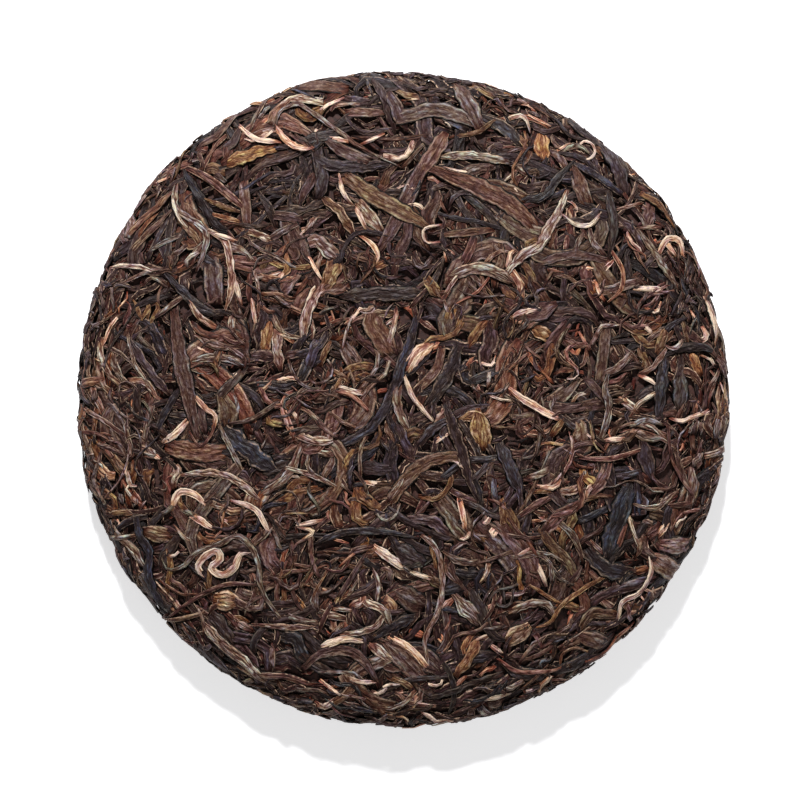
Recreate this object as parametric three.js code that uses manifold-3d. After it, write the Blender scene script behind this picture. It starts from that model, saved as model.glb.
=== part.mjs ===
// A round cake of raw pu-erh tea: whole leaves, steamed soft, gathered in a cloth bag and
// pressed under a stone. The cake lies on its back with its face up.
// Units are millimetres, +Z is up, and the origin is the middle of the footprint.

import * as THREE from 'three';
import { mergeVertices } from 'three/addons/utils/BufferGeometryUtils.js';
import Module from 'manifold-3d';

const wasm = await Module();
wasm.setup();

// Driving dimensions of the cake.
const cakeDiameter = 200;
const cakeThickness = 24;
const leafThickness = 1.9;
const leafLift = 0.35;
const unevenness = 0.45;

// The packed mass, under the leaves that stand out of it.
const leafRelief = leafLift + leafThickness / 2;
const massRadius = cakeDiameter / 2 - leafRelief;
const massTop = cakeThickness - leafRelief - unevenness;
const massBack = leafRelief / 2;
const widestHeight = 9.5;
const faceEdgeRadius = 80;
const faceEdgeDrop = 3.6;
const backEdgeRadius = 84;
const turnsRoundMass = 48;
const stepsPerCurve = 3;

// The hollow that the knot of the bag leaves in the back.
const hollowRadius = 28;
const hollowDepth = 9;

// The leaves, from the largest to the smallest that are modelled.
const longestLeaf = 36;
const shortestLeaf = 17;
const widestLeaf = 6.5;
const narrowestLeaf = 3.4;
const leafStep = 9;
const leafTilt = 0.8;
const leafWave = 0.25;
const tipWidth = 0.3;
const mostBend = 0.16;

const leavesOnFace = 52;
const leavesOnBack = 34;
const leavesOnRim = 30;
const faceReach = 84;
const rimReach = 101;
const rimSpread = 9;
const backReach = 92;
const randomSeed = 357;
const goldenAngle = Math.PI * (3 - Math.sqrt(5));
const weldDistance = 1e-3;

// One flat leaf on the back, which the cake rests on as on the rest of its back.
const restLeafRadius = 60;
const restLeafLength = 30;
const restLeafWidth = 9;

const random = THREE.MathUtils.seededRandom;
const lerp = THREE.MathUtils.lerp;
random(randomSeed);

// Half of the cake's section, from the middle of the face out over the rim and in again to
// the middle of the hollow.
function massOutline() {
  const faceEdge = massTop - faceEdgeDrop;
  const hollowTop = massBack + hollowDepth;
  const outline = new THREE.Path();
  outline.moveTo(0, massTop);
  outline.bezierCurveTo(
    0.45 * faceEdgeRadius, massTop,
    0.8 * faceEdgeRadius, faceEdge + 0.38 * faceEdgeDrop,
    faceEdgeRadius, faceEdge,
  );
  outline.bezierCurveTo(
    lerp(faceEdgeRadius, massRadius, 0.5), faceEdge - 0.5 * faceEdgeDrop,
    massRadius, lerp(widestHeight, faceEdge, 0.6),
    massRadius, widestHeight,
  );
  outline.bezierCurveTo(
    massRadius, lerp(massBack, widestHeight, 0.4),
    lerp(backEdgeRadius, massRadius, 0.6), massBack,
    backEdgeRadius, massBack,
  );
  outline.lineTo(hollowRadius, massBack);
  outline.bezierCurveTo(
    0.8 * hollowRadius, massBack,
    0.75 * hollowRadius, hollowTop,
    0, hollowTop,
  );
  return outline;
}

const outline = massOutline();
const outlineLength = outline.getLength();

// The slow dents and swellings of a mass pressed by hand.
function swelling({ x, y, z }) {
  const slow = Math.sin(x / 13 + 1.7 * Math.sin(y / 19)) * Math.cos(y / 11 + z / 5);
  const quick = Math.sin(x / 6.1 - y / 8.3) * Math.cos(x / 9.7 + y / 5.3);
  return unevenness * (slow + 0.6 * quick);
}

// The point of the cake's surface that lies as far from the middle of the face, or of the
// back, as (x, y) does when it is measured along the surface. The back is seen from below.
function surfaceAt(x, y, onBack) {
  const share = Math.hypot(x, y) / outlineLength;
  const along = onBack ? 1 - share : share;
  const turn = Math.atan2(onBack ? -y : y, x);
  const point = outline.getPointAt(along);
  const tangent = outline.getTangentAt(along);
  const outwards = new THREE.Vector3(
    -tangent.y * Math.cos(turn),
    -tangent.y * Math.sin(turn),
    tangent.x,
  );
  const position = new THREE.Vector3(
    point.x * Math.cos(turn),
    point.x * Math.sin(turn),
    point.y,
  );
  return { position, outwards };
}

// A closed geometry as a solid, without the flat triangles at a lathe's two poles.
function solidFrom(geometry) {
  geometry.deleteAttribute('normal');
  geometry.deleteAttribute('uv');
  const merged = mergeVertices(geometry, weldDistance);
  const corners = merged.index.array;
  const kept = [];
  for (let i = 0; i < corners.length; i += 3) {
    const [a, b, c] = corners.slice(i, i + 3);
    if (a !== b && b !== c && c !== a) {
      kept.push(a, b, c);
    }
  }
  return new wasm.Manifold(new wasm.Mesh({
    numProp: 3,
    vertProperties: merged.attributes.position.array,
    triVerts: new Uint32Array(kept),
  }));
}

function geometryFrom(solid) {
  const mesh = solid.getMesh();
  const geometry = new THREE.BufferGeometry();
  geometry.setAttribute('position', new THREE.BufferAttribute(mesh.vertProperties, 3));
  geometry.setIndex(new THREE.BufferAttribute(mesh.triVerts, 1));
  geometry.computeVertexNormals();
  return geometry;
}

function packedMass() {
  const section = outline.getPoints(stepsPerCurve).reverse();
  const geometry = new THREE.LatheGeometry(section, turnsRoundMass);
  geometry.rotateX(Math.PI / 2);
  const positions = geometry.attributes.position;
  const corner = new THREE.Vector3();
  for (let i = 0; i < positions.count; i += 1) {
    corner.fromBufferAttribute(positions, i);
    const growth = 1 + swelling(corner) / massRadius;
    const lift = swelling(corner) * (corner.z - massBack) / massTop;
    positions.setXYZ(i, corner.x * growth, corner.y * growth, corner.z + lift);
  }
  return solidFrom(geometry);
}

// A strip of rolled or flattened leaf along a route on the surface: thin, wavy, widest in the
// middle and pressed down on one side, both faces split alike.
function leafStrip({ route, width, tilt = (random() - 0.5) * 2 * leafTilt, onBack = false }) {
  const middle = new THREE.CatmullRomCurve3(route.map(([x, y]) => new THREE.Vector3(x, y, 0)));
  const steps = Math.max(3, Math.round(middle.getLength() / leafStep));
  const phase = random() * Math.PI * 2;
  const geometry = new THREE.BoxGeometry(1, 1, 1, steps, 1, 1);
  const positions = geometry.attributes.position;
  for (let i = 0; i < positions.count; i += 1) {
    const along = positions.getX(i) + 0.5;
    const side = positions.getY(i);
    const upper = positions.getZ(i);
    const centre = middle.getPointAt(along);
    const tangent = middle.getTangentAt(along);
    const fullness = lerp(tipWidth, 1, Math.sin(Math.PI * along) ** 0.6);
    const across = side * width * fullness;
    const wave = leafWave * Math.sin(phase + along * steps * 1.9 + side);
    const height = leafLift + wave + tilt * side;
    const { position, outwards } = surfaceAt(
      centre.x - tangent.y * across,
      centre.y + tangent.x * across,
      onBack,
    );
    position.addScaledVector(outwards, height + upper * leafThickness);
    positions.setXYZ(i, position.x, position.y, position.z);
  }
  return solidFrom(geometry);
}

// A route of four points through a centre, bent to one side by a share of its length.
function bentRoute(x, y, heading, length, bend) {
  return [-0.5, -0.17, 0.17, 0.5].map((share) => {
    const ahead = share * length;
    const aside = bend * length * (4 * share * share - 0.5);
    return [
      x + ahead * Math.cos(heading) - aside * Math.sin(heading),
      y + ahead * Math.sin(heading) + aside * Math.cos(heading),
    ];
  });
}

// The size of the leaf of a rank between 0, the largest, and 1, the smallest.
function leafSize(rank) {
  return {
    length: lerp(longestLeaf, shortestLeaf, rank ** 0.7),
    width: lerp(widestLeaf, narrowestLeaf, random()),
  };
}

// Leaves laid in every direction over a disc, spread like the seeds of a sunflower.
function spreadLeaves(count, reach, onBack) {
  const leaves = [];
  for (let i = 0; i < count; i += 1) {
    const { length, width } = leafSize((i * 31 % count) / count);
    const away = reach * Math.sqrt((i + 0.5) / count);
    const turn = i * goldenAngle + (random() - 0.5) * 0.3;
    const heading = random() * Math.PI * 2;
    const bend = (random() - 0.5) * 2 * mostBend;
    const x = away * Math.cos(turn);
    const y = away * Math.sin(turn);
    leaves.push(leafStrip({ route: bentRoute(x, y, heading, length, bend), width, onBack }));
  }
  return leaves;
}

// Leaves that the bag laid along the rim.
function rimLeaves() {
  const leaves = [];
  for (let i = 0; i < leavesOnRim; i += 1) {
    const { length, width } = leafSize((i * 17 % leavesOnRim) / leavesOnRim);
    const turn = (i + random() * 0.5) * Math.PI * 2 / leavesOnRim;
    const away = rimReach + (i % 3 - 1) * rimSpread;
    const heading = turn + Math.PI / 2 + (random() - 0.5) * 0.9;
    const x = away * Math.cos(turn);
    const y = away * Math.sin(turn);
    leaves.push(leafStrip({ route: bentRoute(x, y, heading, length, -0.08), width }));
  }
  return leaves;
}

// The leaves of the face that are long or broad enough to know the cake by.
const shownLeaves = [
  { name: 'hooked curl with a long tail', width: 2.6,
    route: [[-30, 78], [-39, 83], [-33, 89], [-20, 82], [-1, 71]] },
  { name: 'wavy stem at the upper left', width: 3,
    route: [[-69, 65], [-67, 58], [-61, 50], [-63, 40]] },
  { name: 'broad leaf right of the wavy stem', width: 7, route: [[-59, 44], [-57, 29]] },
  { name: 'tan leaf left of the middle', width: 4.5, route: [[-25, 36], [-29, 27], [-31, 18]] },
  { name: 'dark leaf above the middle', width: 5, route: [[-18, 31], [-7, 32], [6, 32]] },
  { name: 'long dark leaf through the middle', width: 5,
    route: [[4, 25], [0, 10], [-9, -8], [-20, -15]] },
  { name: 'dark wedge beside it', width: 6.5, route: [[17, 16], [13, 6], [8, -2]] },
  { name: 'long leaf at the upper right', width: 6, route: [[10, 70], [25, 64], [43, 52]] },
  { name: 'pale leaf at the upper right', width: 4.5,
    route: [[51, 63], [48, 57], [44, 49], [31, 37]] },
  { name: 'folded leaf on the left', width: 6, route: [[-70, 28], [-68, 13], [-63, -13]] },
  { name: 'broad leaf at the lower left', width: 7, route: [[-55, -9], [-47, -16], [-38, -23]] },
  { name: 'curly pale bud at the lower left', width: 2.8,
    route: [[-62, -54], [-60, -48], [-57, -53], [-48, -48], [-38, -67]] },
  { name: 'long leaf along the lower left', width: 5,
    route: [[-60, -69], [-48, -80], [-41, -86]] },
  { name: 'pink leaf below the middle', width: 4, route: [[-10, -45], [0, -51], [10, -56]] },
  { name: 'black leaf on the right', width: 8, route: [[70, -26], [67, -36], [63, -49]] },
  { name: 'dark leaf at the right edge', width: 5, route: [[81, 14], [79, 4], [79, -6]] },
  { name: 'rolled stem at the lower right', width: 2.8,
    route: [[41, -71], [49, -63], [61, -55]] },
  { name: 'pale thread at the lower right', width: 2.4,
    route: [[76, -47], [75, -57], [66, -63], [64, -70]] },
];

function restLeaf() {
  const route = bentRoute(restLeafRadius, 0, Math.PI / 2, restLeafLength, 0.05);
  return leafStrip({ route, width: restLeafWidth, tilt: 0, onBack: true });
}

// Everything below the surface that the cake was pressed on.
function belowTheBoard() {
  const depth = cakeThickness;
  const slab = new THREE.BoxGeometry(2 * cakeDiameter, 2 * cakeDiameter, depth);
  slab.translate(0, 0, -depth / 2);
  return solidFrom(slab);
}

// The cake without loose scraps, and with each hollow filled that the leaves seal.
function largestBody(solid) {
  return solid.decompose().reduce((a, b) => (a.volume() > b.volume() ? a : b));
}

// The leaves joined to the mass and cut flat below. Vertices that all but touch are welded
// once more at the end, and what that pinches off goes too.
function teaCake() {
  const leaves = [
    ...shownLeaves.map(({ route, width }) => leafStrip({ route, width })),
    ...spreadLeaves(leavesOnFace, faceReach, false),
    ...spreadLeaves(leavesOnBack, backReach, true),
    ...rimLeaves(),
    restLeaf(),
  ];
  const joined = leaves.reduce((cake, leaf) => cake.add(leaf), packedMass());
  const trimmed = largestBody(joined.subtract(belowTheBoard()));
  return largestBody(solidFrom(geometryFrom(trimmed)));
}

const pressedLeaf = new THREE.MeshStandardMaterial({
  color: new THREE.Color(0.075, 0.045, 0.035),
  roughness: 0.6,
  metalness: 0,
});

const cakeGeometry = geometryFrom(teaCake());
cakeGeometry.computeBoundingBox();
const footprint = cakeGeometry.boundingBox.getCenter(new THREE.Vector3());
cakeGeometry.translate(-footprint.x, -footprint.y, 0);

const cake = new THREE.Mesh(cakeGeometry, pressedLeaf);
cake.name = 'tea_cake';

const part = new THREE.Group();
part.add(cake);

export default part;
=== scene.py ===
# A round cake of raw pu-erh tea: whole leaves, steamed soft, gathered in a cloth bag and
# pressed under a stone. The leaves are laid one over another, as they are in the bag, and
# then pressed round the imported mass.

import math

import bmesh
import bpy
import numpy as np
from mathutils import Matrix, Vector, noise
from mathutils.geometry import interpolate_bezier


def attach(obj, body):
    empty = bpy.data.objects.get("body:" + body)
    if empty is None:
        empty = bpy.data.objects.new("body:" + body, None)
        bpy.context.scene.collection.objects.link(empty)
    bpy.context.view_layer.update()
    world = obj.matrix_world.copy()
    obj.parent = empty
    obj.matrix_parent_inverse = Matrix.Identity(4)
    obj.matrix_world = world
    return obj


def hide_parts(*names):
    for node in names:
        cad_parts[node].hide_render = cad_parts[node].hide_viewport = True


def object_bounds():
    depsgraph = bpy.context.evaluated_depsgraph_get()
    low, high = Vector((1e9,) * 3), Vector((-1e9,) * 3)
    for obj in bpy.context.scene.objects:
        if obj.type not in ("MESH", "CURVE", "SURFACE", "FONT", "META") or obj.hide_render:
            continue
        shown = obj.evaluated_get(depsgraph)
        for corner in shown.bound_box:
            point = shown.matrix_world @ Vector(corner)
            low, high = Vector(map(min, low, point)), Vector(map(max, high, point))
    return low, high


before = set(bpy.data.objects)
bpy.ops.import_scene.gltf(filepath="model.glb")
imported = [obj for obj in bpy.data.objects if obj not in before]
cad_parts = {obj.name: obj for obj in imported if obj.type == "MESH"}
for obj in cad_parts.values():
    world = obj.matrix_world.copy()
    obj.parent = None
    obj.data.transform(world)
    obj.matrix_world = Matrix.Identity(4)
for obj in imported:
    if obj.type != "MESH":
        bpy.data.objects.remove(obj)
cad_low, cad_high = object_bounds()
mm = 0.001


# The view
# The photograph looks straight at the face of the cake, so the camera hangs above its middle.
# The photograph's right is +X and its up is +Y.

image_size = 800
cake_centre_pixel = (402.5, 398.5)
cake_radius_pixels = 325
lens = 95
sensor_width = 36
cake_radius = (cad_high.x - cad_low.x) / 2 / mm
widest_height = 9.5

rim_pixel = cake_radius / cake_radius_pixels
camera_rise = rim_pixel * image_size * lens / sensor_width
camera_height = widest_height + camera_rise
camera_x = (image_size / 2 - cake_centre_pixel[0]) * rim_pixel
camera_y = (cake_centre_pixel[1] - image_size / 2) * rim_pixel


def add_object(name, data):
    """A new object in the scene."""
    made = bpy.data.objects.new(name, data)
    bpy.context.scene.collection.objects.link(made)
    return made


camera = add_object("camera", bpy.data.cameras.new("camera"))
camera.data.lens = lens
camera.data.sensor_width = sensor_width
camera.data.clip_start = 0.01
camera.location = (camera_x * mm, camera_y * mm, camera_height * mm)
bpy.context.scene.camera = camera
bpy.context.scene.view_settings.view_transform = "Standard"


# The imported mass
# Under the leaves that show, the cake is a solid mass of leaf and leaf dust, pressed so hard that
# only dark gaps show of it. Its face is slightly domed, its rim is round, and its flat back has
# the hollow that the knot of the bag leaves.

cake_thickness = (cad_high.z - cad_low.z) / mm
leaf_relief = 1.3
unevenness = 0.45
mass_radius = cake_radius - leaf_relief + unevenness
mass_top = cake_thickness - leaf_relief - unevenness
mass_back = leaf_relief / 2
face_edge_radius = 80
face_drop = 3.6
face_edge_height = mass_top - face_drop
back_edge_radius = 84
hollow_radius = 28
hollow_depth = 9
steps_per_curve = 40


def bezier(*points):
    """A curve of the half section, from an end, its two handles and the other end."""
    corners = [Vector((radius, 0, height)) for radius, height in points]
    return interpolate_bezier(*corners, steps_per_curve)


hollow_top = mass_back + hollow_depth
outline = bezier(
    (0, mass_top),
    (0.45 * face_edge_radius, mass_top),
    (0.8 * face_edge_radius, face_edge_height + 0.38 * face_drop),
    (face_edge_radius, face_edge_height),
)
outline += bezier(
    (face_edge_radius, face_edge_height),
    ((face_edge_radius + mass_radius) / 2, face_edge_height - 0.5 * face_drop),
    (mass_radius, widest_height + 0.6 * (face_edge_height - widest_height)),
    (mass_radius, widest_height),
)[1:]
outline += bezier(
    (mass_radius, widest_height),
    (mass_radius, mass_back + 0.4 * (widest_height - mass_back)),
    (back_edge_radius + 0.6 * (mass_radius - back_edge_radius), mass_back),
    (back_edge_radius, mass_back),
)[1:]
flat_steps = 24
for step in range(1, flat_steps):
    radius = back_edge_radius + (hollow_radius - back_edge_radius) * step / flat_steps
    outline.append(Vector((radius, 0, mass_back)))
outline += bezier(
    (hollow_radius, mass_back),
    (0.8 * hollow_radius, mass_back),
    (0.75 * hollow_radius, hollow_top),
    (0, hollow_top),
)

outline_radius = np.array([point.x for point in outline])
outline_height = np.array([point.z for point in outline])
outline_steps = np.hypot(np.diff(outline_radius), np.diff(outline_height))
outline_run = np.concatenate([[0], np.cumsum(outline_steps)])
outline_length = outline_run[-1]
outwards_radius = -np.gradient(outline_height, outline_run)
outwards_height = np.gradient(outline_radius, outline_run)

# The rim isn't quite round: the way that each swell faces, how far it reaches round, and how far
# out it goes.
rim_swells = [(2.15, 0.45, 1.3), (4.7, 0.35, 0.6), (0.9, 1.0, -0.3), (3.3, 0.6, -0.3), (5.7, 0.4, -0.4)]


def swollen(radius, turn):
    """How far out a place lies when the rim bulges a little here and there."""
    share = np.clip((radius - face_edge_radius) / (cake_radius - face_edge_radius), 0, 1)
    for middle, breadth, swell in rim_swells:
        apart = (turn - middle + math.pi) % math.tau - math.pi
        radius = radius + swell * share * np.exp(-((apart / breadth) ** 4))
    return radius


def wrap(x, y, height, on_back):
    """Places on the cake, for places on a flat bed and heights above it.

    A place on the bed is as far from its middle as the place on the cake is from the middle
    of the face or of the back, along the surface. The back is seen from below.
    """
    run = np.hypot(x, y)
    turn = np.arctan2(np.where(on_back, -y, y), x)
    along = np.where(on_back, outline_length - run, run)
    radius = np.interp(along, outline_run, outline_radius)
    radius = radius + height * np.interp(along, outline_run, outwards_radius)
    radius = swollen(radius, turn)
    rise = np.interp(along, outline_run, outline_height)
    rise = rise + height * np.interp(along, outline_run, outwards_height)
    return np.stack([radius * np.cos(turn), radius * np.sin(turn), rise], axis=-1)


# How deep the mass lies under the outline, on the face and at the rim, and how lumpy it is.
mass_depth = 1.4
rim_mass_depth = 1.0
rim_radius = 0.97 * mass_radius
turns_round_mass = 160
lump_size = 2.2
lump_height = 0.35

mass = bmesh.new()
profile = [mass.verts.new(point) for point in outline[::2]]
profile_edges = [mass.edges.new(pair) for pair in zip(profile, profile[1:])]
bmesh.ops.spin(
    mass, geom=profile + profile_edges, cent=(0, 0, 0), axis=(0, 0, 1),
    angle=math.tau, steps=turns_round_mass, use_merge=True,
)
bmesh.ops.remove_doubles(mass, verts=mass.verts, dist=0.01)
bmesh.ops.recalc_face_normals(mass, faces=mass.faces)
for vertex in mass.verts:
    lumps = noise.fractal(vertex.co / lump_size, 1.0, 2.0, 3)
    radius = math.hypot(vertex.co.x, vertex.co.y)
    depth = np.interp(radius, (face_edge_radius, rim_radius), (mass_depth, rim_mass_depth))
    vertex.co -= vertex.normal * (depth + lump_height * lumps)
    radius = math.hypot(vertex.co.x, vertex.co.y)
    if radius > face_edge_radius:
        outer = swollen(radius, math.atan2(vertex.co.y, vertex.co.x)) / radius
        vertex.co.x *= outer
        vertex.co.y *= outer
bmesh.ops.scale(mass, vec=(mm, mm, mm), verts=mass.verts)
for face in mass.faces:
    face.smooth = True

mass_mesh = bpy.data.meshes.new("packed_mass")
mass.to_mesh(mass_mesh)
mass.free()
packed_mass = add_object("packed_mass", mass_mesh)


def paint(red, green, blue):
    """A colour as it would be read off a photograph, for a shader."""
    shares = [channel / 255 for channel in (red, green, blue)]
    return tuple(((share + 0.055) / 1.055) ** 2.4 if share > 0.04 else share / 12.92 for share in shares)


def node(tree, kind, settings=None, **values):
    """A new node, with its settings and the values of its sockets, or what feeds them.

    A socket goes by its name, or by an i and its number.
    """
    made = tree.nodes.new(kind)
    for name, value in (settings or {}).items():
        setattr(made, name, value)
    for name, value in values.items():
        socket = made.inputs[int(name[1:])] if name[0] == "i" and name[1:].isdigit() else made.inputs[name]
        if isinstance(value, bpy.types.NodeSocket):
            tree.links.new(value, socket)
        else:
            socket.default_value = value
    return made


def new_material(name):
    """A new material, its nodes and its main shader."""
    material = bpy.data.materials.new(name)
    material.use_nodes = True
    tree = material.node_tree
    return material, tree, tree.nodes["Principled BSDF"]


# The mass is painted a dark red brown, darker than any leaf: partly the leaf dust's own colour, partly
# painted shade for the gaps where it shows.
dust_and_gap_shade, tree, shader = new_material("leaf_dust_and_gap_shade")
place = node(tree, "ShaderNodeTexCoord").outputs["Object"]
grains = node(tree, "ShaderNodeTexNoise", Vector=place, Scale=900.0, Detail=3.0)
shades = node(tree, "ShaderNodeValToRGB", Fac=grains.outputs["Fac"])
shades.color_ramp.elements[0].position = 0.35
shades.color_ramp.elements[0].color = (*paint(34, 10, 5), 1)
shades.color_ramp.elements[1].position = 0.7
shades.color_ramp.elements[1].color = (*paint(66, 34, 25), 1)
bump = node(tree, "ShaderNodeBump", Strength=0.6, Distance=0.4 * mm, Height=grains.outputs["Fac"])
tree.links.new(shades.outputs["Color"], shader.inputs["Base Color"])
tree.links.new(bump.outputs["Normal"], shader.inputs["Normal"])
shader.inputs["Roughness"].default_value = 0.8

packed_mass.data.materials.append(dust_and_gap_shade)
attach(packed_mass, "root")
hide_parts("tea_cake")


# The deep brown leaves
# Whole leaves of the spring picking, rolled by hand into strips while they were green and dried
# in the sun. They go into the bag first and lie under most of the others. All leaves are laid on
# two flat beds, one for the face with its half of the rim and one beside it for the back.

# A bed is a grid of the heights to which leaves lie on it so far. Where a leaf of the photograph
# lies, the face is kept clear of later ones.
bed_reach = 112
cell = 0.5
bed_cells = int(2 * bed_reach / cell)
back_bed_x = 300
beds = {"face": np.zeros((bed_cells, bed_cells)), "back": np.zeros((bed_cells, bed_cells))}
kept_clear = np.zeros((bed_cells, bed_cells))
most_on_kept_clear = 0.08
rng = np.random.default_rng(357)

# What all leaves have in common. A leaf is laid in fine steps, and every sixth of them is a ring
# of its mesh.
leaf_reach = 104
rim_start = 84
fine_steps = 6
spots_across = np.linspace(1, -1, 9)
turned_breadth = 0.13
most_lean = 0.3
tuck_reach = 4.5
end_depth = 0.35
lower_side = 1.25
loose_tuck = (-0.6, 1.2)
loose_ends = (0.6, 1)


def ease(share):
    """Goes from 0 to 1 without a corner."""
    share = np.clip(share, 0, 1)
    return share * share * (3 - 2 * share)


def crest(across, along, folds, depth):
    """The height of a rolled leaf's upper side, over the places across and along it."""
    rounded = np.sqrt(np.clip(1 - np.abs(across) ** 5, 0, 1))
    number, twist, start, strength = folds
    ridges = np.sin(number * (across + twist * along) + start)
    return depth * (rounded * (1 - strength + strength * ridges) - 1)


def wandering_route(centre, heading, length, curl, sway, hook, points):
    """A route which bends evenly by curl, sways to both sides and ends in a hook."""
    run = np.linspace(-0.5, 0.5, points)
    turn = heading + curl * length * run + sway * np.sin(math.tau * run + heading)
    turn = turn + hook * ease((run - 0.1) / 0.4)
    steps = np.column_stack([np.cos(turn), np.sin(turn)]) * length / (points - 1)
    route = np.cumsum(steps, axis=0)
    return route - route.mean(axis=0) + centre


def route_through(points, count, longer=0):
    """A smooth route through a few places, with both ends longer by that much."""
    points = np.array(points, float)
    start = points[0] - points[1]
    end = points[-1] - points[-2]
    points[0] += longer * start / np.linalg.norm(start)
    points[-1] += longer * end / np.linalg.norm(end)
    gaps = np.linalg.norm(np.diff(points, axis=0), axis=1)
    knots = np.concatenate([[0], np.cumsum(gaps)])
    slopes = np.gradient(points, knots, axis=0)
    places = np.linspace(0, knots[-1], count)
    span = np.clip(np.searchsorted(knots, places) - 1, 0, len(gaps) - 1)
    share = ((places - knots[span]) / gaps[span])[:, None]
    gap = gaps[span][:, None]
    here = points[span] * (1 + 2 * share) * (1 - share) ** 2
    there = points[span + 1] * (3 - 2 * share) * share ** 2
    leaving = slopes[span] * gap * share * (1 - share) ** 2
    arriving = slopes[span + 1] * gap * share ** 2 * (1 - share)
    return here + there + leaving - arriving


def lay(pile, bed, route, leaf, seen=False):
    """Lays one leaf on what lies on the bed, and adds it to its pile."""
    field = beds[bed]
    along = np.linspace(0, 1, len(route))
    heading = np.gradient(route, axis=0)
    heading /= np.linalg.norm(heading, axis=1)[:, None] + 1e-9
    side = np.column_stack([-heading[:, 1], heading[:, 0]])
    run = np.concatenate([[0], np.cumsum(np.linalg.norm(np.diff(route, axis=0), axis=1))])
    first, last = leaf["ends"]
    opening, closing = leaf["tapers"]
    half = first + (1 - first) * ease(along / opening)
    half = half * (last + (1 - last) * ease((1 - along) / closing))
    turned = 1 - leaf["turned"] * np.exp(-(((along - leaf["turned_at"]) / turned_breadth) ** 2))
    half = half * turned * leaf["width"] / 2
    number, _, start, _ = leaf["folds"]
    left_waves = np.sin(1.9 * run + start) * np.sin(0.83 * run + number)
    right_waves = np.sin(1.3 * run - start) * np.sin(0.71 * run + 3 * number)

    def sideways(across):
        """How far beside the route a leaf reaches, with both its edges uneven."""
        waves = np.where(across > 0, left_waves[:, None], right_waves[:, None])
        return half[:, None] * across * (1 + leaf["ragged"] * waves)

    spots = route[:, None] + side[:, None] * sideways(spots_across)[..., None]
    cells = np.clip(((spots + bed_reach) / cell).astype(int), 0, bed_cells - 1)
    columns, rows = cells[..., 0], cells[..., 1]
    if bed == "face" and not seen and kept_clear[rows, columns].mean() > most_on_kept_clear:
        return False

    # Each half of the leaf rests on the highest spots under it, and sags between them.
    under = field[rows, columns]
    give = leaf["give"] * (run[:, None] - run) ** 2
    left = (under[:, :5].max(axis=1) - give).max(axis=1)
    right = (under[:, 4:].max(axis=1) - give).max(axis=1)
    lean = np.clip((left - right) / 2, -most_lean * half, most_lean * half)
    first_tuck, last_tuck = leaf["tucks"]
    sink = first_tuck * ease(1 - run / tuck_reach) + last_tuck * ease(1 - (run[-1] - run) / tuck_reach)
    depth = leaf["depth"] * (end_depth + (1 - end_depth) * half / half.max())
    base = (left + right) / 2 + leaf["lift"] - sink
    top = base[:, None] + lean[:, None] * spots_across
    top = top + crest(spots_across, along[:, None], leaf["folds"], depth[:, None])
    np.maximum.at(field, (rows, columns), top)
    if seen:
        kept_clear[rows, columns] = 1

    # A ring of the mesh has corners over the upper side and one under the middle.
    rings = slice(None, None, fine_steps)
    places = np.sin(np.linspace(0.5, -0.5, leaf["ridges"]) * math.pi)
    upper = base[rings, None] + lean[rings, None] * places
    upper = upper + crest(places, along[rings, None], leaf["folds"], depth[rings, None])
    lower = base[rings] - lower_side * depth[rings]
    height = np.column_stack([upper, lower])
    across = np.append(places, 0)
    flat = route[rings, None] + side[rings, None] * sideways(across)[rings, :, None]
    if bed == "back":
        flat = flat + (back_bed_x, 0)
    vertices = np.concatenate([flat, height[..., None]], axis=2)
    grain = np.empty_like(vertices)
    grain[..., 0] = across * leaf["width"] / 2
    grain[..., 1] = run[rings, None]
    grain[..., 2] = rng.uniform(0, 500)
    form = np.empty_like(vertices)
    form[..., 0] = across
    # How strong the painted highlight inside the leaf's edges is.
    form[..., 1] = leaf["edge"]
    form[..., 2] = 0
    tint = np.ones((*vertices.shape[:2], 4))
    tint[..., :3] = leaf["tint"]
    pile.setdefault(vertices.shape[:2], []).append((vertices, grain, form, tint))
    return True


def leaf_form(steps, sides):
    """The faces of one leaf and where their corners lie on the map, from a closed tube.

    The tube is unrolled on its part of the map, between the discs of its two ends.
    """
    disc_middles = (0.03, 0.97)
    disc_reach = (0.45, 0.025)
    tube_start, tube_length = 0.07, 0.86
    tube = bmesh.new()
    bmesh.ops.create_cone(tube, cap_ends=True, segments=sides, radius1=1, radius2=1, depth=1)
    lengthwise = [edge for edge in tube.edges if abs(edge.verts[0].co.z - edge.verts[1].co.z) > 0.5]
    bmesh.ops.subdivide_edges(tube, edges=lengthwise, cuts=steps - 1)
    bmesh.ops.recalc_face_normals(tube, faces=tube.faces)
    corner = tube.verts[:][0].co
    first_turn = math.atan2(corner.y, corner.x)
    numbers, places, starts = [], [], []
    for face in tube.faces:
        starts.append(len(numbers))
        turns = []
        for vertex in face.verts:
            turn = (math.atan2(vertex.co.y, vertex.co.x) - first_turn) / math.tau * sides
            turns.append(round(turn) % sides)
        for vertex, turn in zip(face.verts, turns):
            ring = round((vertex.co.z + 0.5) * steps)
            numbers.append(ring * sides + turn)
            if len(face.verts) == sides:
                angle = math.tau * turn / sides
                places.append((
                    0.5 + disc_reach[0] * math.cos(angle),
                    disc_middles[ring > 0] + disc_reach[1] * math.sin(angle),
                ))
            else:
                seam = sides if turn == 0 and max(turns) == sides - 1 else 0
                places.append(((turn + seam) / sides, tube_start + tube_length * ring / steps))
    tube.free()
    return np.array(numbers), np.array(places), np.array(starts)


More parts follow.
